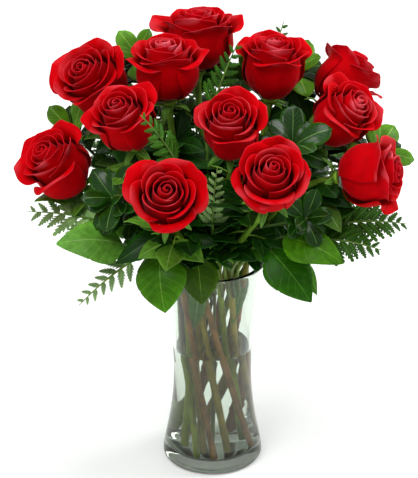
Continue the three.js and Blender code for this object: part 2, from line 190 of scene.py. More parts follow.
def addTube(bm, points, radii, sides, slot):
    # a closed tube: a disc drawn along the points, with its section turned as little as can be
    disc = bmesh.ops.create_circle(bm, cap_ends=True, segments=sides, radius=1)["verts"][0].link_faces[0]
    heading = (points[1] - points[0]).normalized()
    aside = heading.orthogonal().normalized()
    for i, (point, radius) in enumerate(zip(points, radii)):
        if i:
            before = points[i] - points[i - 1]
            after = points[min(i + 1, len(points) - 1)] - points[min(i, len(points) - 2)]
            turned = (before.normalized() + after.normalized()).normalized()
            aside.rotate(heading.rotation_difference(turned))
            heading = turned
            disc = bmesh.ops.extrude_discrete_faces(bm, faces=[disc])["faces"][0]
        other = heading.cross(aside)
        for k, vertex in enumerate(disc.verts):
            turn = 2 * math.pi * k / sides
            vertex.co = (point + (aside * math.cos(turn) + other * math.sin(turn)) * radius) * mm
        disc.material_index = slot


def finishPiece(name, bm, materials, nodes, levels=0):
    bmesh.ops.recalc_face_normals(bm, faces=bm.faces)
    mesh = bpy.data.meshes.new(name)
    bm.to_mesh(mesh)
    bm.free()
    for material in materials:
        mesh.materials.append(material)
    mesh.shade_smooth()
    piece = bpy.data.objects.new(name, mesh)
    scene.collection.objects.link(piece)
    if levels:
        rounded = piece.modifiers.new("rounded", "SUBSURF")
        rounded.levels = rounded.render_levels = levels
    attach(piece, "root")
    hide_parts(*nodes)


def startPiece():
    bm = bmesh.new()
    bm.loops.layers.uv.new("UVMap")
    return bm


def stoodAt(at, direction, turn):
    lean = Vector((0, 0, 1)).rotation_difference(direction).to_matrix().to_4x4()
    return Matrix.Translation(at) @ lean @ Matrix.Rotation(math.radians(turn), 4, "Z")


# A stem's height at its foot and at the mouth, its steps below and above the mouth, and how far it keeps its
# direction at each end of its bend. Each ring has its radius on the floor and at the mouth, and the degrees
# that its stems turn between the two.
stems = {
    "floor": 11, "mouth": 203, "straight": 48, "bent": 18, "lead": 0.3,
    "rings": {"centre": (0, 3, 80), "inner": (21, 20, 100), "middle": (32, 32.5, 96), "outer": (36, 40.9, 80),
              "rim": (36, 41.7, 80)},
}


def onRing(radius, angle, height):
    turn = math.radians(angle)
    return Vector((radius * math.cos(turn), radius * math.sin(turn), height))


def stemRoute(ring, angle, foot, end, endDirection):
    # straight through the vase, then bent to its end, as the solid's stem runs
    low, high, twist = stems["rings"][ring]
    floor = onRing(low, angle + twist, stems["floor"])
    mouth = onRing(high, angle, stems["mouth"])
    rise = mouth - floor
    start = floor + rise * ((foot - floor.z) / rise.z)
    reach = (end - mouth).length
    second = mouth + rise.normalized() * reach * stems["lead"]
    third = end - endDirection * reach * stems["lead"]
    points = [start.lerp(mouth, i / stems["straight"]) for i in range(stems["straight"])]
    for i in range(stems["bent"] + 1):
        t = i / stems["bent"]
        near = mouth * (1 - t) ** 3 + second * 3 * t * (1 - t) ** 2
        points.append(near + third * 3 * t * t * (1 - t) + end * t ** 3)
    return points


# finishes
# painted highlight: the pale patches that the petals' turned lips take
paintedHighlightPatch = (0.34, 0.16, 0.2)  # what the palest patch adds to a petal's red, in linear values
noiseSpan = {"From Min": 0.3, "From Max": 0.7}  # where most of a noise's values lie


def petalFinish(name, deep, body, lip, edge, sheen, pale):
    # rose petal: soft cells that take light in, with little gloss, a trace of velvet sheen, a deeper red
    # towards its base that is painted shade, and a pinker edge that is a painted highlight
    material, tree, shader = startMaterial(
        name, Roughness=0.55, IOR=1.4, Specular_IOR_Level=0.02, Sheen_Weight=sheen, Sheen_Roughness=0.35,
        Sheen_Tint=linear("#ff8f9c"), Subsurface_Weight=0.05, Subsurface_Radius=(1.0, 0.05, 0.04),
        Subsurface_Scale=0.002,
    )
    uv = addNode(tree, "UVMap", uv_map="UVMap")
    parts = addNode(tree, "SeparateXYZ", links={0: uv})
    # painted shade: the red deepens towards the petal's base; painted highlight: its edge turns pinker
    ramp = addNode(
        tree, "ValToRGB", links={0: parts.outputs["Y"]},
        stops=[(0.12, deep), (0.5, body), (0.88, lip), (0.972, lip), (1.0, edge)],
    )
    place = addNode(tree, "TexCoord").outputs["Object"]
    # soft blotches about 12 mm across
    blotch = addNode(tree, "TexNoise", values={"Scale": 80.0, "Detail": 3.0}, links={"Vector": place})
    shade = addNode(
        tree, "MapRange", links={0: blotch}, values={**noiseSpan, "To Min": 0.82, "To Max": 1.1},
    )
    tinted = addNode(tree, "VectorMath", operation="SCALE", links={0: ramp, "Scale": shade})
    # painted highlight: the turned lip pales in patches about 25 mm across
    patch = addNode(tree, "TexNoise", values={"Scale": 42.0, "Detail": 1.0}, links={"Vector": place})
    highlightSpot = addNode(
        tree, "MapRange", links={0: patch},
        values={"From Min": 0.5, "From Max": 0.66, "To Min": 0.0, "To Max": pale},
    )
    highlightShare = addNode(
        tree, "MapRange", links={0: parts.outputs["Y"]}, values={"From Min": 0.62, "From Max": 1.0},
    )
    highlightAmount = addNode(tree, "Math", operation="MULTIPLY", links={0: highlightSpot, 1: highlightShare})
    highlighted = addNode(
        tree, "VectorMath", operation="MULTIPLY_ADD", values={0: paintedHighlightPatch}, links={1: highlightAmount, 2: tinted},
    )
    # veins that run from base to lip, about 1.5 mm apart
    stretched = addNode(tree, "Mapping", values={"Scale": (34.0, 2.2, 1.0)}, links={0: uv})
    veins = addNode(tree, "TexNoise", values={"Scale": 1.0, "Detail": 2.0}, links={"Vector": stretched})
    bump = addNode(tree, "Bump", values={"Strength": 0.16, "Distance": 0.0006}, links={"Height": veins})
    feed(tree, shader, {"Base Color": highlighted, "Normal": bump})
    return material


petalInside = petalFinish(
    "rosePetalInside", "#9c0004", "#c20004", "#be020c", "#c81c28", sheen=0.0, pale=0.2,
)
petalOutside = petalFinish(
    "rosePetalOutside", "#980006", "#b80008", "#c00614", "#d02c3a", sheen=0.12, pale=0.9,
)
# painted highlight: a paler, pinker finish for the rims of some petals
petalRimHighlight = petalFinish(
    "rosePetalRimHighlight", "#a40410", "#bc0c18", "#c6202c", "#d84854", sheen=0.1, pale=0.6,
)


def leafFinish(name, middle, margin, rib, roughness, ribWidth, veinCount, veinDepth, coat=0.0):
    # a leaf blade: waxy skin over green cells, a paler rib, and side veins that sweep towards the tip
    material, tree, shader = startMaterial(
        name, Roughness=roughness, IOR=1.45, Specular_IOR_Level=0.1, Coat_Weight=coat, Coat_Roughness=0.2,
        Subsurface_Weight=0.05, Subsurface_Radius=(0.3, 1.0, 0.1), Subsurface_Scale=0.001,
    )
    uv = addNode(tree, "UVMap", uv_map="UVMap")
    parts = addNode(tree, "SeparateXYZ", links={0: uv})
    fromRib = addNode(tree, "Math", operation="SUBTRACT", values={1: 0.5}, links={0: parts.outputs["X"]})
    away = addNode(tree, "Math", operation="ABSOLUTE", links={0: fromRib})
    blade = addNode(
        tree, "ValToRGB", links={0: away},
        stops=[(0.0, rib), (ribWidth, rib), (ribWidth * 1.8, middle), (0.36, middle), (0.5, margin)],
    )
    swept = addNode(
        tree, "Math", operation="MULTIPLY_ADD", values={1: -0.55}, links={0: away, 2: parts.outputs["Y"]},
    )
    counted = addNode(
        tree, "Math", operation="MULTIPLY", values={1: veinCount * 2 * math.pi}, links={0: swept},
    )
    sway = addNode(tree, "Math", operation="SINE", links={0: counted})
    vein = addNode(tree, "MapRange", values={"From Min": 0.8, "From Max": 1.0}, links={0: sway})
    place = addNode(tree, "TexCoord").outputs["Object"]
    # mottling about 6 mm across, over patches of leaves about 50 mm across
    blotch = addNode(tree, "TexNoise", values={"Scale": 160.0, "Detail": 4.0}, links={"Vector": place})
    patch = addNode(tree, "TexNoise", values={"Scale": 20.0, "Detail": 0.0}, links={"Vector": place})
    fine = addNode(tree, "MapRange", links={0: blotch}, values={**noiseSpan, "To Min": 0.75, "To Max": 1.2})
    broad = addNode(
        tree, "MapRange", links={0: patch}, values={**noiseSpan, "To Min": 0.65, "To Max": 1.35},
    )
    shade = addNode(tree, "Math", operation="MULTIPLY", links={0: fine, 1: broad})
    tinted = addNode(tree, "VectorMath", operation="SCALE", links={0: blade, "Scale": shade})
    veinShare = addNode(tree, "Math", operation="MULTIPLY", values={1: 0.12}, links={0: vein})
    veined = addNode(
        tree, "Mix", data_type="RGBA", values={7: linear(rib)}, links={0: veinShare, 6: tinted},
    )
    bump = addNode(
        tree, "Bump", invert=True, values={"Strength": veinDepth, "Distance": 0.0005},
        links={"Height": vein},
    )
    feed(tree, shader, {"Base Color": veined.outputs[2], "Normal": bump})
    return material


# Half the rib's width as a share of the blade's, the side veins along it, and how deep they lie
sprigVeins = {"ribWidth": 0.008, "veinCount": 9, "veinDepth": 0.15}
sprigUnderVeins = {"ribWidth": 0.012, "veinCount": 9, "veinDepth": 0.1}
fernVeins = {"ribWidth": 0.02, "veinCount": 5, "veinDepth": 0.15}
lemonVeins = {"ribWidth": 0.006, "veinCount": 7, "veinDepth": 0.35}
lemonUnderVeins = {"ribWidth": 0.01, "veinCount": 7, "veinDepth": 0.35}
roseVeins = {"ribWidth": 0.01, "veinCount": 6, "veinDepth": 0.45}
sepalVeins = {"ribWidth": 0.02, "veinCount": 3, "veinDepth": 0.2}

sprigDark = leafFinish("pittosporumWaxedDark", "#103404", "#245408", "#6c9448", 0.3, coat=0.3, **sprigVeins)
# painted light: a lighter copy of the waxed pittosporum finish, for the outer sprigs whose upper whorls face
# the lamps
sprigPaintedLit = leafFinish(
    "pittosporumWaxedPaintedLit", "#4a7f10", "#67992a", "#9cbc58", 0.36, coat=0.1, **sprigVeins,
)
sprigUnder = leafFinish("pittosporumUnderside", "#4c7628", "#62893c", "#9ab878", 0.5, **sprigUnderVeins)
fernDeep = leafFinish("leatherFernDeep", "#2c5812", "#3c6c1e", "#5a8638", 0.45, **fernVeins)
# painted light: a paler copy of the leather fern finish, lightened against the shade that the left and front
# fronds hang in
fernPaintedLit = leafFinish("leatherFernPaintedLit", "#7aa05c", "#8eb070", "#a2be86", 0.5, **fernVeins)
# painted light: a lighter copy of the lemon leaf finish, for leaves that face up towards the lamps
lemonPaintedLit = leafFinish("lemonLeafPaintedLit", "#5e9a32", "#6ba83e", "#90ba62", 0.42, coat=0.04, **lemonVeins)
lemonMiddle = leafFinish("lemonLeafMiddle", "#40780a", "#4e8814", "#7aa83e", 0.4, coat=0.03, **lemonVeins)
lemonDeep = leafFinish("lemonLeafDeep", "#1f5002", "#2c6406", "#548528", 0.38, coat=0.03, **lemonVeins)
lemonOlive = leafFinish("lemonLeafOlive", "#2e4c02", "#3c5c06", "#627e2c", 0.4, coat=0.02, **lemonVeins)
lemonUnder = leafFinish("lemonLeafUnderside", "#5b853c", "#6c964a", "#a0bd7c", 0.5, **lemonUnderVeins)
roseLeafYoung = leafFinish("roseLeafletYoung", "#4e7e1e", "#628f2e", "#93b660", 0.42, coat=0.05, **roseVeins)
roseLeafTop = leafFinish("roseLeafletTop", "#0e3203", "#1a4c08", "#386422", 0.42, coat=0.05, **roseVeins)
sepalGreen = leafFinish("roseSepal", "#4c7a26", "#64903c", "#86a95c", 0.5, **sepalVeins)


def stemFinish(name, above, below):
    # green stem bark: smooth and waxy, with faint lumps, and gone olive or brown inside the vase, where its
    # colour is also mostly lighter as painted light for the lamp light that the glass holds back
    material, tree, shader = startMaterial(name, Roughness=0.42, IOR=1.45, Specular_IOR_Level=0.3)
    place = addNode(tree, "TexCoord").outputs["Object"]
    parts = addNode(tree, "SeparateXYZ", links={0: place})
    height = addNode(
        tree, "MapRange", values={"From Min": 0.16, "From Max": 0.24}, links={0: parts.outputs["Z"]},
    )
    # painted light, in part: the colour below the mouth is lighter to make up for light that the glass holds
    # back
    ramp = addNode(tree, "ValToRGB", links={0: height}, stops=[(0.0, below), (1.0, above)])
    # blotches and lumps about 14 mm across
    blotch = addNode(tree, "TexNoise", values={"Scale": 70.0, "Detail": 5.0}, links={"Vector": place})
    shade = addNode(
        tree, "MapRange", links={0: blotch}, values={**noiseSpan, "To Min": 0.55, "To Max": 1.35},
    )
    tinted = addNode(tree, "VectorMath", operation="SCALE", links={0: ramp, "Scale": shade})
    bump = addNode(tree, "Bump", values={"Strength": 0.4, "Distance": 0.0008}, links={"Height": blotch})
    feed(tree, shader, {"Base Color": tinted, "Normal": bump})
    return material


greenStem = stemFinish("roseStemGreen", "#6f9c2c", "#909e28")
oliveStem = stemFinish("roseStemOlive", "#6a942a", "#9c8a2e")
brownStem = stemFinish("roseStemBrown", "#739c26", "#9c7038")
woodyStem = stemFinish("sprigStemWoody", "#46662a", "#6c6a3c")
fernStalk = stemFinish("fernStalkGreen", "#5a7c30", "#7c8040")


def glassFinish():
    # pressed soda-lime glass: clear, with faint waviness, and grey-green where the foot is thick
    material, tree, shader = startMaterial(
        "sodaLimeGlass", Roughness=0.0, IOR=1.5, Transmission_Weight=1.0, Specular_Tint=linear("#b0b0b0"),
    )
    place = addNode(tree, "TexCoord").outputs["Object"]
    parts = addNode(tree, "SeparateXYZ", links={0: place})
    height = addNode(
        tree, "MapRange", values={"From Min": 0.0, "From Max": 0.03}, links={0: parts.outputs["Z"]},
    )
    depth = addNode(
        tree, "ValToRGB", links={0: height},
        stops=[(0.0, "#6a7266"), (0.12, "#8e958a"), (0.36, "#a9b0a4"), (0.6, "#eaf1ea")],
    )
    # waves about 30 mm long, far below a tenth of a millimetre high
    waves = addNode(tree, "TexNoise", values={"Scale": 34.0, "Detail": 1.0}, links={"Vector": place})
    bump = addNode(tree, "Bump", values={"Strength": 0.06, "Distance": 0.001}, links={"Height": waves})
    feed(tree, shader, {"Base Color": depth, "Normal": bump})
    return material


def waterFinish():
    # still water, clear, with hardly a ripple
    material, tree, shader = startMaterial(
        "vaseWater", Base_Color=linear("#fcfdfb"), Roughness=0.0, IOR=1.333, Transmission_Weight=1.0,
    )
    place = addNode(tree, "TexCoord").outputs["Object"]
    # ripples about 17 mm across
    ripple = addNode(tree, "TexNoise", values={"Scale": 60.0, "Detail": 0.0}, links={"Vector": place})
    bump = addNode(tree, "Bump", values={"Strength": 0.03, "Distance": 0.001}, links={"Height": ripple})
    feed(tree, shader, {"Normal": bump})
    return material


glass = glassFinish()
water = waterFinish()
print("finishes")

# vase and water
# Outlines hold radius and height. From the point wallFrom up, the inside is the outside less the wall, and
# inner is what lies below that
vase = {
    "outside": [
        (0, 0.6), (30, 0.6), (33, 0), (42, 0), (45, 1.2), (46, 4), (45.2, 11), (43.6, 19), (41.6, 29),
        (39.4, 41), (37.6, 55), (36.2, 69), (35.7, 82), (35.9, 98), (36.8, 115), (38.4, 135), (40.4, 155),
        (42.8, 175), (45.3, 194), (46.3, 201),
    ],
    "lip": [(46.2, 202.4), (45.2, 203), (44.0, 203), (43.3, 202.2)],
    "wall": 3.0, "wallFrom": 7, "inner": [(38.5, 12), (35, 10.3), (20, 10), (0, 10)],
    "segments": 96,
}
wall = [(r - vase["wall"], z) for r, z in vase["outside"][vase["wallFrom"]:]]
# lap is how far the water runs into the glass, and side how far below its level its side ends. From there it
# creeps up the glass: the way of each point across and up from its edge
waterFill = {"level": 115, "lap": 0.15, "side": 2, "creep": [(0, 0.9), (-1.2, 0.25), (-4, 0)]}


def turnedSolid(bm, profile, segments):
    # a profile of radius and height spun about Z, closed at its poles
    rim = [bm.verts.new((radius * mm, 0, height * mm)) for radius, height in profile]
    line = [bm.edges.new(pair) for pair in zip(rim, rim[1:])]
    bmesh.ops.spin(
        bm, geom=rim + line, cent=(0, 0, 0), axis=(0, 0, 1), angle=2 * math.pi, steps=segments,
        use_merge=True,
    )
    bmesh.ops.remove_doubles(bm, verts=bm.verts, dist=1e-6)


def insideAt(height):
    # the inside's radius, at a height between the wall's ends
    for (r0, z0), (r1, z1) in zip(wall, wall[1:]):
        if z0 <= height <= z1:
            return r0 + (r1 - r0) * (height - z0) / (z1 - z0)


bm = bmesh.new()
turnedSolid(bm, vase["outside"] + vase["lip"] + wall[-2::-1] + vase["inner"], vase["segments"])
finishPiece("vaseGlass", bm, [glass], ["vase"], levels=1)

bm = bmesh.new()
level, lap = waterFill["level"], waterFill["lap"]
under = [(r, z - lap) for r, z in reversed(vase["inner"])]
sideEnd = level - waterFill["side"]
side = [(r + lap, z) for r, z in wall if z < sideEnd]
edge = insideAt(level) + lap
surface = [(insideAt(sideEnd) + lap, sideEnd)]
surface += [(edge + across, level + up) for across, up in waterFill["creep"]]
turnedSolid(bm, under + side + surface + [(0, level)], vase["segments"])
finishPiece("vaseWaterBody", bm, [water], ["water"], levels=1)
print("vase and water")

# roses
bloomMiddle = 28  # from the receptacle to the point that a bloom's place means
bloomGap = 0.3  # between a hip and its bloom
hip = {"height": 12, "outline": [(4, 3.6), (6.5, 5.4), (9, 6.8), (10.6, 7.1), (11, 6.4)]}  # rise and radius
roseColumns = ("name", "at", "faces", "ring", "angle", "open", "wide", "turn")
roses = [dict(zip(roseColumns, row)) for row in [
    ("top", (-13, 102, 372), (0, 0.14, 0.99), "inner", 96, 1.05, 1, 20),
    ("top_left", (-40, 38, 370), (-0.05, 0.05, 1), "inner", 150, 1, 0.93, 75),
    ("top_right", (54, 50, 367), (0.1, 0.03, 1), "inner", 40, 1, 0.89, 140),
    ("upper_left", (-105, 48, 354), (-0.48, -0.38, 0.79), "middle", 150, 0.95, 0.94, 10),
    ("middle_left", (-76, -28, 350), (-0.28, -0.32, 0.9), "inner", 205, 0.9, 0.85, 50),
    ("far_left", (-135, -2, 295), (-0.59, -0.29, 0.76), "middle", 177, 0.95, 0.9, 131),
    ("back_right", (119, 88, 338), (0.6, 0.45, 0.62), "middle", 32, 0.9, 0.84, 30),
    ("upper_right", (114, 12, 336), (0.59, -0.29, 0.76), "middle", 5, 0.9, 0.84, 120),
    ("far_right", (137, -40, 305), (0.94, -0.22, 0.23), "middle", 340, 0.95, 0.88, 60),
    ("centre", (15, -36, 347), (-0.03, -0.41, 0.91), "inner", 285, 0.95, 0.8, 15),
    ("front_right", (49, -104, 329), (0.08, -0.57, 0.81), "middle", 298, 1, 0.84, 80),
    ("front_left", (-39, -116, 318), (-0.05, -0.64, 0.76), "middle", 247, 1.05, 0.87, 5),
]]
# A bloom's petals follow each other inwards, each turned on from the last. The stages go from the outermost
# petal to the innermost: points of radius and height up to the throat, then the lip's lean from upright, its
# length, its curl and how much more its shoulders curl, in degrees, and the angle that half of the petal
# wraps. tip is the height and width of its point, neck the share of its width at the base, and drift how far
# the inmost stand aside. grids has the last petal that each grid serves, and its faces across and along.
bloomForm = {
    "petals": 18, "turnEach": 137.5, "thickness": 0.45, "tip": (2.6, 0.16), "ruffle": 0.5, "neck": 0.42,
    "drift": 2.5, "grids": ((6, 22, 18), (11, 18, 14), (99, 16, 12)),
    "stages": [
        {"points": [(5, 1), (20, 5), (30, 19), (29.5, 35)],
         "lean": 24, "lip": 16, "curl": 50, "shoulder": 130, "wrap": 50},
        {"points": [(4, 3), (18, 7), (27.5, 21), (26.5, 39)],
         "lean": 14, "lip": 13.5, "curl": 44, "shoulder": 95, "wrap": 54},
        {"points": [(3, 5), (15, 9), (23, 24), (21, 42.5)],
         "lean": 2, "lip": 10.5, "curl": 34, "shoulder": 56, "wrap": 64},
        {"points": [(3, 8), (11, 13), (17.4, 30), (15, 46)],
         "lean": -7, "lip": 8, "curl": 24, "shoulder": 26, "wrap": 78},
        {"points": [(2, 12), (7.5, 18), (11, 36), (8.8, 49.5)],
         "lean": -12, "lip": 6, "curl": 16, "shoulder": 8, "wrap": 96},
        {"points": [(1, 22), (2.2, 29), (3.8, 42), (2.6, 52)],
         "lean": -10, "lip": 4, "curl": 0, "shoulder": 0, "wrap": 150},
    ],
}
# How far petals stray from that: by millimetres, degrees or shares of their own values
petalSpread = {
    "open": (-1.5, 2.5), "lean": (-9, 11), "curl": (0.7, 1.3), "shoulder": (0.75, 1.2), "lip": (0.88, 1.12),
    "wrap": (0.92, 1.08), "skew": (-0.18, 0.18), "phase": (0, 6.28), "lift": (-1.3, 1.3),
}


def stageAt(inward):
    # the form of a petal, mixed from the two stages next to it
    stages = bloomForm["stages"]
    span = inward * (len(stages) - 1)
    i = min(int(span), len(stages) - 2)
    one, two, t = stages[i], stages[i + 1], span - i
    form = {key: mix(one[key], two[key], t) for key in ("lean", "lip", "curl", "shoulder", "wrap")}
    form["points"] = [(mix(a[0], b[0], t), mix(a[1], b[1], t)) for a, b in zip(one["points"], two["points"])]
    return form


def petalPlace(rose, inward, angle, chance, stand, drift):
    # where one petal's points lie
    def vary(value):
        return chance.uniform(*petalSpread[value])

    form = stageAt(inward)
    outward = stand.to_3x3() @ Vector((math.cos(angle), math.sin(angle), 0))
    loose = (1 - inward) ** 1.5  # the outer petals stand freer
    fall = 0.6 * max(0.0, -outward.z) * loose  # petals on the lower side of a tilted bloom hang more open
    opened = (rose["open"] - 1) * 12 + vary("open") + 3 * fall
    points = [(r + opened * loose * k / 3, z - fall * k) for k, (r, z) in enumerate(form["points"])]
    throatRadius, throatHeight = points[-1]
    lean = math.radians(form["lean"] + (vary("lean") + 12 * fall) * loose)
    curl = math.radians(max(1, form["curl"] * vary("curl")))
    shoulder = math.radians(form["shoulder"] * vary("shoulder"))
    lip = form["lip"] * vary("lip")
    wrap = math.radians(form["wrap"] * vary("wrap"))
    skew, phase = vary("skew"), vary("phase")
    lift = vary("lift")
    tipHeight, tipWidth = bloomForm["tip"]

    def place(u, v):
        aside = abs(u + skew)
        if v < 0.5:
            radius, height = alongCurve(points, v * 2)
        else:
            tip = tipHeight * loose * math.exp(-(aside / tipWidth) ** 2)
            length = (lip * (1 - 0.72 * abs(u) ** 3.4) + tip) * (v * 2 - 1)
            bend = (curl + shoulder * min(1, aside) ** 1.6) / lip
            radius = throatRadius + (math.cos(lean) - math.cos(lean + bend * length)) / bend
            height = throatHeight + (math.sin(lean + bend * length) - math.sin(lean)) / bend
        ruffle = bloomForm["ruffle"] * math.sin(6 * u + phase) * smoothStep(0.5, 1, v) * loose
        narrow = mix(bloomForm["neck"], 1, smoothStep(0, 0.45, v))
        turn = angle - u * wrap * narrow
        radius = (radius + 0.7 * u + ruffle) * rose["wide"]
        return stand @ Vector((
            radius * math.cos(turn) + drift.x * inward * v,
            radius * math.sin(turn) + drift.y * inward * v,
            height + lift * v,
        ))

    return place


def makeBloom(rose):
    chance = random.Random(rose["name"])
    faces = Vector(rose["faces"]).normalized()
    stand = stoodAt(Vector(rose["at"]) - faces * bloomMiddle, faces, rose["turn"])
    shift = bloomForm["drift"]
    drift = Vector((chance.uniform(-shift, shift), chance.uniform(-shift, shift)))
    bm = startPiece()
    count = bloomForm["petals"]
    for k in range(count):
        angle = math.radians(bloomForm["turnEach"] * k) + chance.uniform(-0.12, 0.12)
        place = petalPlace(rose, k / (count - 1), angle, chance, stand, drift)
        across, along = next(size for last, *size in bloomForm["grids"] if k <= last)
        # half the petals take the painted-highlight rim
        addSheet(bm, across, along, place, bloomForm["thickness"], (0, 1, chance.choice((0, 2))))
    materials = [petalInside, petalOutside, petalRimHighlight]
    finishPiece("bloom_" + rose["name"], bm, materials, ["rose_" + rose["name"] + "_bloom"])


# The rim shows at the front on the right: how far that reaches, and the height there that leaves keep above,
# which rises towards the front
bareRim = {"from": 6, "to": 60, "height": 198, "slope": 0.52}
leafRoom = {"bloom": 33, "low": 222}  # how far leaves keep from a bloom's middle, and their lowest height
turnEach = 2.4  # the angle round a stem from each leaf or thorn to the next
turnsTried = (0, 1.3, 2.9, 4.4)  # what is added to it until the leaf is clear


def hipTopAt(rose):
    # the top of a rose's hip, and the way that the rose faces
    faces = Vector(rose["faces"]).normalized()
    return Vector(rose["at"]) - faces * (bloomMiddle + bloomGap), faces


def roseRoute(rose):
    # the middle line of a rose's stem, up to its hip
    hipTop, faces = hipTopAt(rose)
    return stemRoute(rose["ring"], rose["angle"], stems["floor"], hipTop - faces * (hip["height"] - 1), faces)


# Two stems show between leaves: from which step above the mouth, on which side, and how far leaves keep off
openStems = {"names": ("far_right", "front_right"), "from": 7, "side": (0, -0.89, 0.46), "free": 11}
openSide = Vector(openStems["side"]).normalized()
openPoints = []
for rose in roses:
    if rose["name"] in openStems["names"]:
        openPoints += roseRoute(rose)[stems["straight"] + openStems["from"]:]


def clearOf(point):
    # whether a point is out of the blooms, above the vase's rim, and off the rim and the stems that show
    for shown in openPoints:
        away = point - shown
        nearer = away.dot(openSide)
        if nearer > 0 and (away - openSide * nearer).length < openStems["free"]:
            return False
    for rose in roses:
        if (point - Vector(rose["at"])).length < leafRoom["bloom"] * rose["wide"]:
            return False
    if bareRim["from"] < point.x < bareRim["to"] and point.z + point.y * bareRim["slope"] < bareRim["height"]:
        return False
    return point.z > leafRoom["low"]


def freeAim(route, at, k, size, lean, chance):
    # the stem's heading there, the way out from it, and the way to a leaf tip that keeps clear, if any does
    heading = (route[at + 1] - route[at]).normalized()
    for more in turnsTried:
        out = heading.orthogonal().normalized()
        out.rotate(Matrix.Rotation(turnEach * k + more, 3, heading))
        aim = (out + heading * chance.uniform(*lean)).normalized()
        if clearOf(route[at] + aim * size) and clearOf(route[at] + aim * size * 0.5):
            return heading, out, aim


def toothedHalf(width, teeth, depth, least, skew, blunt):
    # half a toothed blade's width: its teeth's depth, its least, how low it is widest and how blunt it ends
    def half(v):
        tooth = 1 - depth * ((v * teeth) % 1.0)
        return max(least, tooth * width / 2 * math.sin(math.pi * min(1, v ** skew)) ** blunt)
    return half


# A rose's own leaves: how far up the stem above the mouth each springs, its leaflets' length and width for
# it, their side and share of that length, the stalk, the teeth on a leaflet, and how often a place is sought.
# Those that end near the middle of the bouquet take the dark finish, as painted shade
roseLeaves = {
    "at": (0.1, 0.2, 0.3, 0.4, 0.5, 0.58, 0.64, 0.7, 0.76, 0.82, 0.88), "length": 40, "width": 0.62,
    "leaflets": ((0, 1.0), (-1, 0.85), (1, 0.85)), "stalk": (14, 24), "stalkRadii": [1.0, 0.8, 0.7, 0.5],
    "teeth": 12, "thickness": 0.45, "tries": 60, "middle": (10, -36, 286), "outer": 98,
    "blade": {"bulge": 0.08, "fold": 0.25, "wave": 0.8},
}
# How far these leaves stray: by shares of their length, in how they rise, and in their droop and curl
leafSpread = {"length": (0.8, 1.15), "rise": (-0.45, 0.35), "droop": (-0.3, 0.1), "curl": (0.02, 0.12)}
leafletEdge = {"depth": 0.1, "least": 0.3, "skew": 0.78, "blunt": 0.8}
# the finishes of a leaf's upper face, underside and rim
leafTones = {"oldAndShaded": (2, 3, 3), "young": (4, 3, 3), "under": (3, 2, 3)}
# Leaves set one by one: two inside the vase's mouth, the rest where the bouquet would be seen through. Each
# has its stem, its step above the mouth, its tip, its width and its tones
setLeaves = [
    ("upper_right", -2, (17, -20, 146), 13, "young"),
    ("front_left", -2, (-16, -27, 146), 16, "under"),
    ("front_left", 14, (-84, -88, 243), 26, "oldAndShaded"),
    ("back_right", 17, (82, 91, 319), 20, "oldAndShaded"),
    ("back_right", 16, (72, 78, 335), 24, "oldAndShaded"),
    ("top_left", 10, (-12, 22, 302), 24, "oldAndShaded"),
    ("top_left", 13, (-26, 46, 329), 22, "oldAndShaded"),
    ("top_right", 16, (67, 32, 336), 22, "oldAndShaded"),
    ("top", 17, (8, 112, 349), 22, "oldAndShaded"),
    ("far_right", 17, (108, -58, 292), 20, "oldAndShaded"),
    ("far_right", 16, (121, -53, 280), 22, "oldAndShaded"),
]
# the way they face inside the vase and above it, and their form
setLeafLook = {"inside": (0, -1, 0.2), "above": (0, -0.6, 0.8), "teeth": 9, "bulge": 0.06}


def addRoseLeaf(bm, route, share, chance):
    # a stalk with a leaflet at its end and one at each side, turned outwards from the middle of the bouquet
    at = stems["straight"] + int(share * stems["bent"])
    root, heading = route[at], (route[at + 1] - route[at]).normalized()
    for _ in range(roseLeaves["tries"]):
        away = Vector((root.x, root.y, 0)).normalized()
        turn = 1.1 if share < 0.4 else math.pi  # higher up, where blooms crowd, on any side
        away.rotate(Matrix.Rotation(chance.uniform(-turn, turn), 3, "Z"))
        aim = (away + heading * 0.25 + Vector((0, 0, chance.uniform(*leafSpread["rise"])))).normalized()
        stalk = chance.uniform(*roseLeaves["stalk"])
        length = roseLeaves["length"] * chance.uniform(*leafSpread["length"])
        if all(clearOf(root + aim * reach) for reach in (stalk, stalk + length / 2, stalk + length)):
            break
    else:
        return
    face = (away * 0.5 + Vector((0, 0, 1))).normalized()
    side = aim.cross(face).normalized()
    end = root + aim * stalk
    upper = chance.choice(("oldAndShaded", "young", "young", "under"))  # some leaves hang turned over
    # painted shade: a leaf that ends near the middle of the bouquet takes the dark finish
    if (end + aim * length - Vector(roseLeaves["middle"])).length < roseLeaves["outer"]:
        upper = "oldAndShaded"
    tones = leafTones[upper]
    stalkPath = [root, root.lerp(end, 0.5) + face * 1.5, end, end + aim * 5]
    addTube(bm, stalkPath, roseLeaves["stalkRadii"], 6, 0)
    for hand, part in roseLeaves["leaflets"]:
        start = end if hand == 0 else root.lerp(end, 0.72)
        out = (aim + side * hand * 1.3 + Vector((0, 0, chance.uniform(*leafSpread["droop"])))).normalized()
        size = length * part
        half = toothedHalf(size * roseLeaves["width"], roseLeaves["teeth"], **leafletEdge)
        blade = leafPlace(
            start, start + out * size, face, half, curl=chance.uniform(*leafSpread["curl"]),
            phase=chance.uniform(0, 6), **roseLeaves["blade"],
        )
        addSheet(bm, 6, roseLeaves["teeth"] * 2, blade, roseLeaves["thickness"], tones)


# Sepals: how many, where they spring (radius and height), how far they reach and hang, and half their width
sepals = {
    "count": 5, "root": (5, -3.4), "reach": 22, "drop": (6, 17), "width": 3.9, "thickness": 0.6,
    "blade": {"bulge": 0.2, "fold": 0.35},
}
roseStem = {"radius": 2.85, "uneven": 0.1, "sides": 12}
knots = {"at": (9, 22, 36), "stray": 4, "swell": 0.55}  # leaf joints below the mouth, by step
# Thorns: how many, their first and their gap in steps above the mouth, how far out their middle is, and how
# much they point down
thorns = {
    "count": 4, "first": 2, "gap": 3, "out": 3.6, "down": 0.25, "radius": 1.1, "tip": 0.1, "length": 3.6,
}


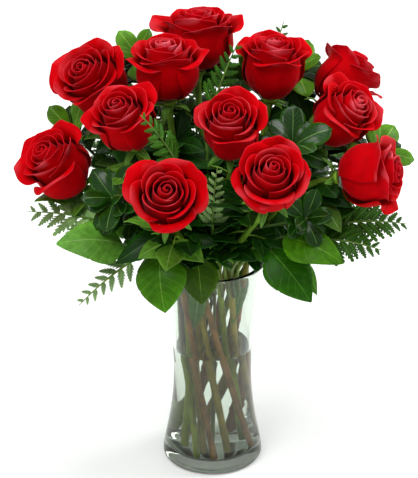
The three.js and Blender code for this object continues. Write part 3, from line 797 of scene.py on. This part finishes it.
def makeRoseStem(rose, bark):
    chance = random.Random(rose["name"] + "stem")
    hipTop, faces = hipTopAt(rose)
    route = roseRoute(rose)
    end = route[-1].copy()
    bodyRoute = list(route)
    radii = [roseStem["radius"] + roseStem["uneven"] * math.sin(i * 0.6) for i in range(len(route))]
    for knot in knots["at"]:
        at = knot + chance.randint(-knots["stray"], knots["stray"])
        radii[at] += knots["swell"]
    route += [end + faces * rise for rise, _ in hip["outline"]]
    radii += [wide for _, wide in hip["outline"]]
    bm = startPiece()
    addTube(bm, route, radii, roseStem["sides"], 0)
    stand = stoodAt(hipTop, faces, rose["turn"])
    for k in range(sepals["count"]):
        turn = 2 * math.pi * (k + 0.5) / sepals["count"]
        out = Vector((math.cos(turn), math.sin(turn), 0))
        start = out * sepals["root"][0] + Vector((0, 0, sepals["root"][1]))
        tip = out * sepals["reach"] + Vector((0, 0, -chance.uniform(*sepals["drop"])))
        sepal = leafPlace(
            start, tip, Vector((0, 0, 1)), lambda v: sepals["width"] * (1 - v) ** 0.8 * (0.75 + v) + 0.25,
            **sepals["blade"],
        )
        addSheet(bm, 4, 8, lambda u, v: stand @ sepal(u, v), sepals["thickness"], (1, 1, 1))
    for k in range(thorns["count"]):
        at = stems["straight"] + thorns["first"] + k * thorns["gap"]
        heading = (route[at + 1] - route[at]).normalized()
        out = heading.orthogonal().normalized()
        out.rotate(Matrix.Rotation(k * turnEach + chance.random(), 3, heading))
        aim = (out - heading * thorns["down"]).normalized()
        placed = stoodAt((route[at] + out * thorns["out"]) * mm, aim, 0)
        bmesh.ops.create_cone(
            bm, cap_ends=True, segments=6, radius1=thorns["radius"] * mm, radius2=thorns["tip"] * mm,
            depth=thorns["length"] * mm, matrix=placed,
        )
    for share in roseLeaves["at"]:
        addRoseLeaf(bm, bodyRoute, share, chance)
    for stem, step, tip, width, upper in setLeaves:
        if stem == rose["name"]:
            root = bodyRoute[stems["straight"] + step]
            face = Vector(setLeafLook["inside" if step < 0 else "above"])
            half = toothedHalf(width, setLeafLook["teeth"], **leafletEdge)
            shape = leafPlace(root, Vector(tip), face, half, bulge=setLeafLook["bulge"])
            addSheet(bm, 6, setLeafLook["teeth"] * 2, shape, roseLeaves["thickness"], leafTones[upper])
    materials = [bark, sepalGreen, roseLeafTop, sprigUnder, roseLeafYoung]
    finishPiece("stem_" + rose["name"], bm, materials, ["rose_" + rose["name"] + "_stem"])


for count, rose in enumerate(roses):
    makeBloom(rose)
    makeRoseStem(rose, (greenStem, oliveStem, brownStem)[count % 3])
print("roses")

# ferns
fernColumns = ("name", "angle", "ring", "foot", "from", "to", "width", "gap", "tone")
# fernPaintedLit is painted light on the fronds at the left and front
ferns = [dict(zip(fernColumns, row)) for row in [
    ("left", 190, "rim", 181, (-98, -22, 250), (-164, -20, 259), 52, 10.4, fernPaintedLit),
    ("left_low", 208, "rim", 187, (-72, -64, 232), (-117, -85, 200), 26, 10.4, fernPaintedLit),
    ("right", 216, "rim", 181, (108, -26, 250), (172, -20, 247), 50, 8.4, fernDeep),
    ("right_low", 302, "rim", 187, (92, -58, 252), (147, -72, 248), 44, 8.4, fernDeep),
    ("middle_left", 278, "rim", 184, (-30, -56, 322), (-62, -64, 374), 30, 8.4, fernDeep),
    ("middle", 30, "centre", 11, (1, 6, 350), (22, 12, 408), 30, 8.4, fernDeep),
    ("middle_front", 270, "rim", 187, (0, -68, 268), (4, -84, 334), 20, 8.4, fernPaintedLit),
    ("back_tall", 286, "rim", 181, (48, 110, 312), (65, 132, 377), 26, 8.4, fernDeep),
    ("back", 108, "outer", 104, (-12, 96, 262), (-22, 158, 292), 50, 8.4, fernDeep),
    ("back_left", 146, "outer", 98, (-72, 82, 250), (-122, 128, 262), 50, 8.4, fernDeep),
    ("back_right", 254, "rim", 187, (86, 84, 246), (132, 126, 254), 50, 8.4, fernDeep),
]]
# A frond has pinnae by turns on the two sides of its rib, each cut into lobes that point to its tip
fernLook = {
    "arch": 0.06, "stalk": 1.4, "rib": 1.2, "taper": 0.9, "ribSteps": 12, "pinnaSweep": 0.8, "lobes": 6,
    "pinnaWidth": 0.42, "least": 2.4, "drop": 0.16, "thickness": 0.35, "blade": {"fold": 0.12, "sweep": 0.9},
}
# How far its pinnae stray: in their reach, sweep and drop, and in how they bulge
fernSpread = {"reach": (0.9, 1.08), "sweep": (-0.08, 0.08), "drop": (-0.12, 0.12), "bulge": (0.03, 0.1)}


def pinnaHalf(width, lobes):
    def half(v):
        lobe = 0.36 + 0.64 * ((v * lobes + 0.25) % 1.0) ** 0.8
        return lobe * width * (1 - v) ** 0.7 * min(1, 0.35 + 5 * v) + 0.25
    return half


def makeFern(fern):
    chance = random.Random("fern" + fern["name"])
    start, tip = Vector(fern["from"]), Vector(fern["to"])
    heading = (tip - start).normalized()
    length = (tip - start).length
    face = Vector((0, 0.3 if heading.y > 0.5 else -0.5, 1))
    side = heading.cross(face).normalized()
    out = side.cross(heading)
    route = stemRoute(fern["ring"], fern["angle"], fern["foot"], start, heading)

    def rib(v):
        return start + heading * (v * length) + out * (4 * fernLook["arch"] * length * v * (1 - v))

    bm = startPiece()
    steps = fernLook["ribSteps"]
    blade = [rib(i / steps) for i in range(1, steps + 1)]
    radii = [fernLook["stalk"]] * len(route)
    radii += [fernLook["rib"] - fernLook["taper"] * i / steps for i in range(steps)]
    addTube(bm, route + blade, radii, 8, 1)
    lobes = fernLook["lobes"]
    count = 2 * round(length / fern["gap"])
    for k in range(count):
        v = 0.01 + 0.97 * k / count
        hand = 1 if k % 2 else -1
        reach = (fern["width"] / 2 * (1 - v) ** 0.85 + 3) * chance.uniform(*fernSpread["reach"])
        aim = side * hand + heading * (fernLook["pinnaSweep"] + chance.uniform(*fernSpread["sweep"]))
        spread = (aim - out * (fernLook["drop"] + chance.uniform(*fernSpread["drop"]))) * reach
        width = max(fernLook["least"], reach * fernLook["pinnaWidth"])
        place = leafPlace(
            rib(v), rib(v) + spread, out, pinnaHalf(width, lobes), bulge=chance.uniform(*fernSpread["bulge"]),
            **fernLook["blade"],
        )
        addSheet(bm, 4, lobes * 4, place, fernLook["thickness"], (0, 0, 0))
    finishPiece("frond_" + fern["name"], bm, [fern["tone"], fernStalk], ["fern_" + fern["name"]])


for fern in ferns:
    makeFern(fern)
print("ferns")

# pittosporum
sprigColumns = ("name", "angle", "at", "faces", "turn", "leaf", "foot", "tone")
sprigs = [dict(zip(sprigColumns, row)) for row in [
    ("upper_left", 118, (-67, 92, 361), (-0.15, -0.5, 0.85), 340, 32, 98, sprigPaintedLit),
    ("left", 170, (-128, 60, 301), (-0.4, -0.45, 0.8), 264, 36, 187, sprigPaintedLit),
    ("middle_right", 262, (70, -30, 331), (0.1, -0.5, 0.85), 92, 38, 181, sprigDark),
    ("upper_right", 90, (75, 98, 344), (0.15, -0.4, 0.9), 144, 36, 104, sprigPaintedLit),
    ("right", 128, (147, 24, 298), (0.4, -0.4, 0.8), 68, 36, 104, sprigPaintedLit),
    ("middle_left", 198, (-88, -50, 288), (-0.4, -0.6, 0.7), 112, 34, 181, sprigDark),
    ("right_low", 224, (82, -66, 276), (0.3, -0.8, 0.6), 153, 28, 184, sprigDark),
    ("back", 100, (28, 136, 322), (0.1, 0.7, 0.7), 68, 36, 98, sprigDark),
    ("back_left", 160, (-64, 128, 300), (-0.4, 0.8, 0.6), 153, 36, 187, sprigDark),
]]
# Two whorls of leaves, by turns spread wide and narrow, the lower whorl more, then single leaves from there
# down to the mouth
sprigLook = {
    "whorl": 5, "spread": (1.15, 0.75), "down": (6, 2), "size": (1, 0.85), "lowerSpread": 0.35,
    "lowerDown": 6, "lowerSize": 0.9, "single": 30, "singleSize": (0.7, 1.0), "lean": (0.1, 0.7),
    "width": 0.6, "thickness": 0.5, "stalk": 1.8, "taper": 0.6, "bulge": 0.08,
    "blade": {"fold": 0.18, "wave": 0.5},
}
# How far its leaves stray, in their spread, bulge and curl
sprigSpread = {"spread": (-0.1, 0.1), "bulge": (-0.04, 0.04), "curl": (0, 0.1)}


def obovateHalf(width):
    def half(v):
        return max(0.5, width / 2 * math.sin(math.pi * v ** 1.55) ** 0.62) if v < 1 else 0.3
    return half


def makeSprig(sprig):
    chance = random.Random("sprig" + sprig["name"])
    faces = Vector(sprig["faces"]).normalized()
    tip = Vector(sprig["at"])
    stand = stoodAt(tip, faces, sprig["turn"])
    route = stemRoute("outer", sprig["angle"], sprig["foot"], tip, faces)
    bm = startPiece()
    bends = [max(0, i - stems["straight"] - 3) for i in range(len(route))]
    addTube(bm, route, [sprigLook["stalk"] - sprigLook["taper"] * i / stems["bent"] for i in bends], 8, 2)
    unmoved = Matrix.Identity(4)
    leaves = []
    whorl = sprigLook["whorl"]
    for k in range(whorl * 2):
        lower = k // whorl  # 0 for the upper whorl, 1 for the lower
        turn = 2 * math.pi * (k + lower / 2) / whorl
        spread = sprigLook["spread"][k % 2] + sprigLook["lowerSpread"] * lower
        spread += chance.uniform(*sprigSpread["spread"])
        out = Vector((math.sin(spread) * math.cos(turn), math.sin(spread) * math.sin(turn), math.cos(spread)))
        root = out * 0.5
        root.z = -sprigLook["down"][k % 2] - sprigLook["lowerDown"] * lower
        size = sprig["leaf"] * sprigLook["size"][k % 2] * (sprigLook["lowerSize"] if lower else 1)
        # the upper whorl takes the sprig's own finish, the painted-lit copy on the outer sprigs; the lower
        # whorl takes the dark one
        leaves.append((stand, root, root + out * size, Vector((0, 0, 1)), size, 3 * lower))
    for k in range(sprigLook["single"]):
        share = (k + 0.5) / sprigLook["single"]
        at = len(route) - 2 - int(share * (stems["bent"] - 2))
        size = sprig["leaf"] * chance.uniform(*sprigLook["singleSize"])
        free = freeAim(route, at, k, size, sprigLook["lean"], chance)
        if free:
            heading, out, aim = free
            leaves.append((unmoved, route[at] + out * 0.4, route[at] + aim * size, heading, size, 3))
    for matrix, root, end, face, size, tone in leaves:
        shape = leafPlace(
            root, end, face, obovateHalf(size * sprigLook["width"]),
            bulge=sprigLook["bulge"] + chance.uniform(*sprigSpread["bulge"]),
            curl=chance.uniform(*sprigSpread["curl"]), phase=chance.uniform(0, 6), **sprigLook["blade"],
        )
        addSheet(bm, 6, 10, lambda u, v: matrix @ shape(u, v), sprigLook["thickness"], (tone, 1, 1))
    materials = [sprig["tone"], sprigUnder, woodyStem, sprigDark]
    finishPiece("sprig_" + sprig["name"], bm, materials, ["pittosporum_" + sprig["name"]])


for sprig in sprigs:
    makeSprig(sprig)
print("pittosporum")

# lemon leaf: each leaf from its stalk to its tip, with its width, the way it faces and its finish
# finish 0, the painted-lit copy, goes to leaves that face up
twigs = [
    {"name": "left", "angle": 234, "at": (-62, -60, 246), "foot": 184, "leaves": [
        ((-78, -58, 246), (-135, -76, 258), 46, (-0.2, -0.6, 1), 0),
        ((-46, -78, 244), (-42, -104, 203), 48, (-0.3, -1, 0.3), 5)]},
    {"name": "front", "angle": 246, "at": (-16, -58, 236), "foot": 187, "leaves": [
        ((-13, -66, 236), (-9, -78, 197), 34, (0, -1, 0.25), 2)]},
    {"name": "right", "angle": 294, "at": (44, -56, 246), "foot": 181, "leaves": [
        ((62, -66, 258), (113, -90, 246), 40, (0.2, -0.7, 1), 5),
        ((50, -72, 248), (86, -98, 211), 42, (0.3, -1, 0.5), 1),
        ((60, -50, 240), (94, -64, 200), 26, (0.8, -0.6, 0.6), 5)]},
    {"name": "right_high", "angle": 70, "at": (70, -32, 248), "foot": 100, "leaves": [
        ((80, -34, 254), (124, -44, 275), 32, (-0.3, -0.6, 1), 1)]},
    {"name": "back", "angle": 80, "at": (24, 66, 240), "foot": 100, "leaves": [
        ((30, 80, 240), (46, 118, 206), 42, (0.2, 1, 0.4), 1),
        ((16, 84, 250), (4, 134, 244), 40, (0, 0.5, 1), 0)]},
    {"name": "back_left", "angle": 138, "at": (-44, 46, 238), "foot": 104, "leaves": [
        ((-58, 54, 240), (-98, 88, 228), 42, (-0.4, 0.5, 1), 0),
        ((-40, 62, 236), (-40, 102, 200), 40, (-0.1, 1, 0.4), 1)]},
    {"name": "back_right", "angle": 58, "at": (58, 26, 242), "foot": 100, "leaves": [
        ((72, 30, 246), (124, 44, 232), 42, (0.5, 0.2, 1), 0),
        ((62, 40, 236), (90, 72, 202), 40, (0.6, 0.8, 0.5), 1)]},
]
# Smaller leaves stand between the mouth and the twig's end
twigLook = {
    "teeth": 26, "thickness": 0.5, "stalk": 1.8, "leafStalk": [1.4, 1.2, 1.0, 0.8], "small": 7,
    "smallLength": 34, "smallSpread": (0.75, 1.1), "smallWidth": 0.6, "smallTeeth": 12, "lean": (0.1, 0.6),
    "blade": {"bulge": 0.1, "fold": 0.22, "curl": 0.05, "wave": 1.0},
    "smallBlade": {"bulge": 0.1, "fold": 0.22, "curl": 0.08, "wave": 0.6},
}
lemonEdge = {"depth": 0.05, "least": 0.4, "skew": 0.72, "blunt": 0.85}


def makeTwig(twig):
    chance = random.Random("twig" + twig["name"])
    end = Vector(twig["at"])
    first = Vector(twig["leaves"][0][0])
    route = stemRoute("outer", twig["angle"], twig["foot"], end, (first - end).normalized())
    bm = startPiece()
    addTube(bm, route, [twigLook["stalk"]] * len(route), 8, 4)
    for start, tip, width, face, tone in twig["leaves"]:
        start, tip, face = Vector(start), Vector(tip), Vector(face)
        stalk = [end.lerp(start, t) for t in (0, 0.5, 1)] + [start.lerp(tip, 0.06)]
        addTube(bm, stalk, twigLook["leafStalk"], 8, 4)
        half = toothedHalf(width, twigLook["teeth"], **lemonEdge)
        shape = leafPlace(start, tip, face, half, phase=chance.uniform(0, 6), **twigLook["blade"])
        addSheet(bm, 8, twigLook["teeth"] * 2, shape, twigLook["thickness"], (tone, 3, 3))
    for k in range(twigLook["small"]):
        at = stems["straight"] + 2 + int(k * (stems["bent"] - 3) / twigLook["small"])
        size = twigLook["smallLength"] * chance.uniform(*twigLook["smallSpread"])
        free = freeAim(route, at, k, size, twigLook["lean"], chance)
        if free:
            heading, out, aim = free
            half = toothedHalf(size * twigLook["smallWidth"], twigLook["smallTeeth"], **lemonEdge)
            root = route[at]
            shape = leafPlace(root + out * 0.5, root + aim * size, heading, half, **twigLook["smallBlade"])
            # a third of the small leaves take the painted-lit copy, at random
            tones = (chance.choice((0, 1, 1)), 3, 3)
            addSheet(bm, 6, twigLook["smallTeeth"] * 2, shape, twigLook["thickness"], tones)
    materials = [lemonPaintedLit, lemonDeep, lemonOlive, lemonUnder, woodyStem, lemonMiddle]
    finishPiece("twig_" + twig["name"], bm, materials, ["lemon_leaf_" + twig["name"]])


for twig in twigs:
    makeTwig(twig)
print("lemon leaf")

# floor
floor = {"size": 4.0, "tones": ("#eceeec", "#eef0ee"), "glow": 0.24}
bm = bmesh.new()
bmesh.ops.create_grid(bm, x_segments=1, y_segments=1, size=floor["size"])
mesh = bpy.data.meshes.new("studioFloor")
bm.to_mesh(mesh)
bm.free()
table = bpy.data.objects.new("studioFloor", mesh)
scene.collection.objects.link(table)
# opal acrylic table, faintly cloudy, lit a little from below, so shadows on it stay pale
material, tree, shader = startMaterial(
    "opalAcrylicTable", Roughness=0.6, Emission_Color=(1, 1, 1, 1), Emission_Strength=floor["glow"],
)
place = addNode(tree, "TexCoord").outputs["Object"]
speck = addNode(tree, "TexNoise", values={"Scale": 3.0, "Detail": 2.0}, links={"Vector": place})
tone = addNode(tree, "ValToRGB", links={0: speck}, stops=[(0.3, floor["tones"][0]), (0.7, floor["tones"][1])])
feed(tree, shader, {"Base Color": tone})
mesh.materials.append(material)
print("floor")

bpy.context.view_layer.update()
